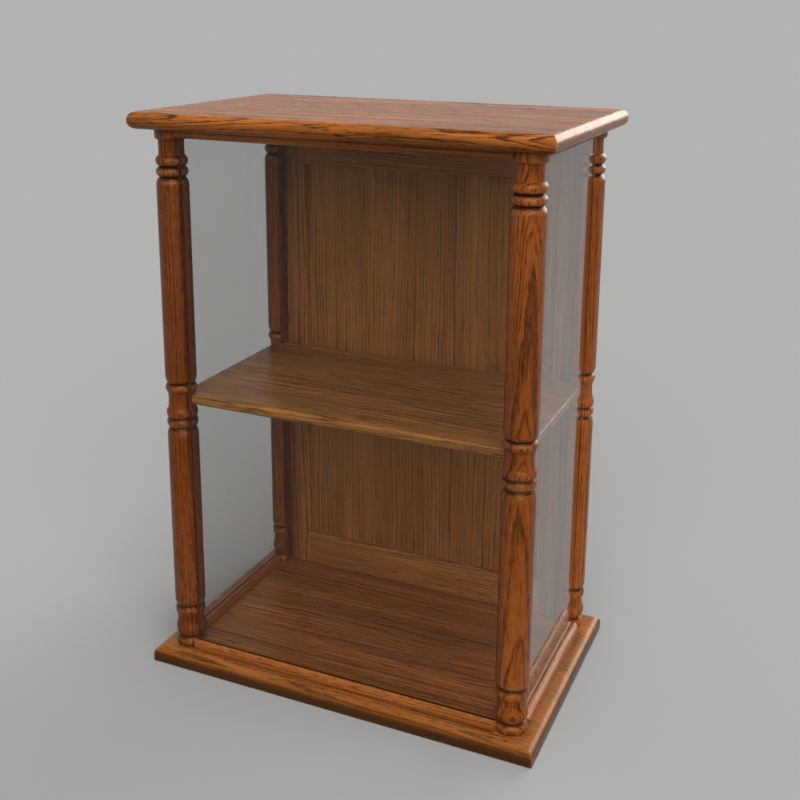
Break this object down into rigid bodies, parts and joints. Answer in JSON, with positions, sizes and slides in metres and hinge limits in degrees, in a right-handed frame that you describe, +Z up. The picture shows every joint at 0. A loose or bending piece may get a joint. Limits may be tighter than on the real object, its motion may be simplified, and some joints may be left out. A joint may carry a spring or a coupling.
{
  "type": "display case",
  "caption": "Counter-top display case: oak boards on turned corner posts, fixed glass at front and sides, a mid shelf and a hinged panelled back door with a turn button.",
  "frame": {"origin": "centre of the base board's underside", "axes": "+Z up, -Y is the glazed front, +Y the door at the back, +X to the right seen from the front"},
  "size_m": [0.498, 0.306, 0.692],
  "materials": {
    "oak_board": "stained, satin varnish",
    "oak_turned": "stained, satin varnish",
    "oak_rail": "stained, satin varnish",
    "oak_door": "stained, satin varnish",
    "glass": "clear, polished",
    "brass": "satin, slightly dulled"
  },
  "bodies": {
    "case": {"base_board": "oak_board", "top_board": "oak_board", "shelf": "oak_board", "post_front_left": "oak_turned", "post_front_right": "oak_turned", "post_rear_left": "oak_turned", "post_rear_right": "oak_turned", "bottom_rail_front": "oak_rail", "bottom_rail_left": "oak_rail", "bottom_rail_right": "oak_rail", "top_rail_front": "oak_rail", "top_rail_left": "oak_rail", "top_rail_right": "oak_rail", "glass_front": "glass", "glass_left": "glass", "glass_right": "glass", "rear_header": "oak_door", "hinge_upper_post_leaf": "brass", "hinge_upper_pin": "brass", "hinge_lower_post_leaf": "brass", "hinge_lower_pin": "brass", "hinge_post_screws": "brass", "turn_button_screw": "brass"},
    "door": {"door_hinge_stile": "oak_door", "door_latch_stile": "oak_door", "door_top_rail": "oak_door", "door_bottom_rail": "oak_door", "door_panel": "oak_door", "hinge_upper_door_leaf": "brass", "hinge_lower_door_leaf": "brass", "hinge_door_screws": "brass", "door_knob": "brass", "knob_screw": "brass"},
    "button": {"turn_button": "brass"}
  },
  "joints": [
    {"name": "door_hinge", "type": "hinge", "parent": "case", "child": "door", "pos_m": [-0.2029, 0.1393, 0.335], "axis": [0, 0, 1], "range_deg": [0, 180]},
    {"name": "turn_button_pivot", "type": "hinge", "parent": "case", "child": "button", "pos_m": [0, 0.13755, 0.658], "axis": [0, 1, 0], "continuous": true}
  ]
}
